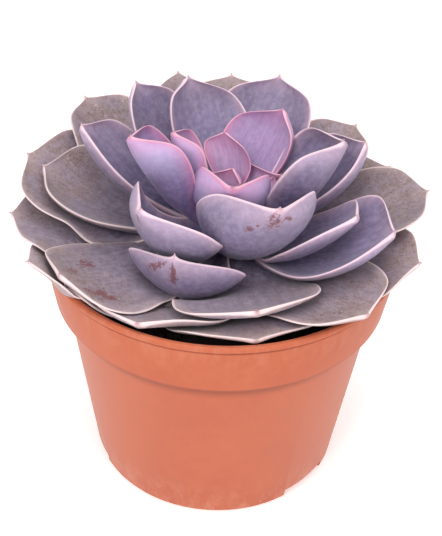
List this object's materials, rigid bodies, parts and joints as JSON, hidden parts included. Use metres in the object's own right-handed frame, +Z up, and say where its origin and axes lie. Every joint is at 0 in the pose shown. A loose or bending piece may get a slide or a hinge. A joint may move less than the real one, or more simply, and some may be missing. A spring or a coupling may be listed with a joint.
{
  "type": "potted succulent",
  "caption": "Rosette succulent with thick cupped pointed leaves, in a round tapered plastic nursery pot with a deep collar.",
  "frame": {"origin": "centre of the pot's foot, on the surface the pot stands on", "axes": "+Z up along the pot's axis; the front, towards which the lowest foot notch and the low leaves face, is -Y"},
  "size_m": [0.1395, 0.1205, 0.1285],
  "materials": {
    "pot_plastic": "matt terracotta-coloured moulded polypropylene",
    "potting_mix": "dark crumbly potting mix with grit",
    "stem": "short fleshy plant stem",
    "heart_leaf": "waxy lilac leaf with a pink margin and pale bloom",
    "middle_leaf": "waxy grey-violet leaf with a pale pink margin and bloom",
    "outer_leaf": "waxy brown-mauve leaf with a cream margin and mottled bloom"
  },
  "bodies": {
    "root": {"pot": "pot_plastic", "potting_mix": "potting_mix", "stem": "stem", "leaf_01": "heart_leaf", "leaf_02": "heart_leaf", "leaf_03": "heart_leaf", "leaf_04": "heart_leaf", "leaf_05": "heart_leaf", "leaf_06": "heart_leaf", "leaf_07": "heart_leaf", "leaf_08": "heart_leaf", "leaf_09": "middle_leaf", "leaf_10": "middle_leaf", "leaf_11": "middle_leaf", "leaf_12": "middle_leaf", "leaf_13": "middle_leaf", "leaf_14": "middle_leaf", "leaf_15": "middle_leaf", "leaf_16": "middle_leaf", "leaf_17": "middle_leaf", "leaf_18": "middle_leaf", "leaf_19": "middle_leaf", "leaf_20": "outer_leaf", "leaf_21": "outer_leaf", "leaf_22": "outer_leaf", "leaf_23": "outer_leaf", "leaf_24": "outer_leaf", "leaf_25": "outer_leaf", "leaf_26": "outer_leaf", "leaf_27": "outer_leaf", "leaf_28": "outer_leaf", "leaf_29": "outer_leaf", "leaf_30": "outer_leaf", "leaf_31": "outer_leaf", "leaf_32": "outer_leaf", "leaf_33": "outer_leaf", "leaf_34": "outer_leaf", "leaf_35": "outer_leaf", "leaf_36": "outer_leaf", "leaf_37": "outer_leaf", "leaf_38": "outer_leaf", "leaf_39": "outer_leaf"}
  },
  "joints": []
}
